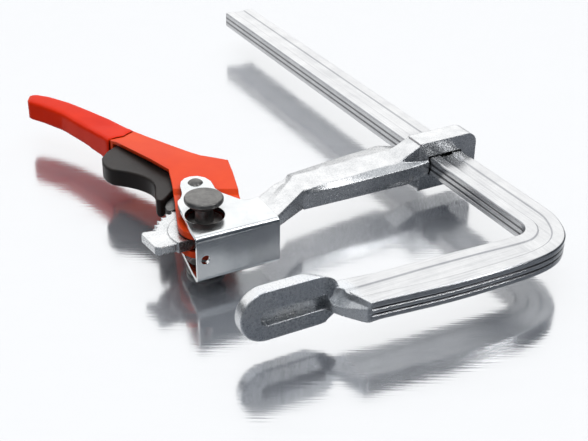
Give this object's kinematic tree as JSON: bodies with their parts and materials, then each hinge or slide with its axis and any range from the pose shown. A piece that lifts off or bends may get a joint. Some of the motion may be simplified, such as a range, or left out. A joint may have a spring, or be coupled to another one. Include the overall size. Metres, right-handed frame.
{
  "type": "lever clamp",
  "caption": "Steel bar clamp with a bent rail jaw, a sliding arm and a squeeze handle that drives a folded pressure shoe, held by a pawl.",
  "frame": {"origin": "centre of the fixed jaw's clamping face, where the plate stands across the clamp's own plane", "axes": "+X along the rail from the fixed jaw to the rail's free end, +Y from the rail towards the jaw tips, +Z square to the clamp's plane, upwards when it lies on its side"},
  "size_m": [0.3956, 0.2181, 0.0446],
  "materials": {
    "galvanised_steel": "bright galvanised, fine drawn grain",
    "forged_steel": "galvanised forging, fine grain",
    "sheet_steel": "bright galvanised sheet",
    "red_paint": "glossy powder coat",
    "red_plastic": "satin dip coat",
    "black_plastic": "satin moulded",
    "black_steel": "dark oxide, satin",
    "spring_steel": "plain"
  },
  "bodies": {
    "rail": {"rail_jaw": "galvanised_steel"},
    "arm": {"slide_arm": "forged_steel", "fulcrum_pin": "black_steel", "lower_head": "black_steel", "spacer_upper": "sheet_steel", "spacer_lower": "sheet_steel"},
    "handle": {"handle": "red_paint", "grip_coat": "red_plastic", "ear_rivet": "black_steel", "rivet_sleeve": "spring_steel", "lever_spring": "spring_steel", "washer_upper": "black_steel", "washer_lower": "black_steel"},
    "shoe": {"pressure_shoe": "sheet_steel"},
    "lever": {"release_lever": "black_plastic", "pawl": "black_steel"}
  },
  "joints": [
    {"name": "arm_slide", "type": "slide", "parent": "rail", "child": "arm", "axis": [1, 0, 0], "range_m": [-0.04, 0.245]},
    {"name": "handle_pivot", "type": "hinge", "parent": "arm", "child": "handle", "pos_m": [0.0751, 0.0067, 0], "axis": [0, 0, 1], "range_deg": [-18, 18]},
    {"name": "shoe_pivot", "type": "hinge", "parent": "handle", "child": "shoe", "pos_m": [0.1092, -0.0034, 0], "axis": [0, 0, 1], "range_deg": [-5, 5]},
    {"name": "release_pivot", "type": "hinge", "parent": "handle", "child": "lever", "pos_m": [0.1092, -0.0034, 0], "axis": [0, 0, 1], "range_deg": [-6, 0], "stiffness_Nm_per_rad": 0.3, "springref_deg": 5.73}
  ]
}
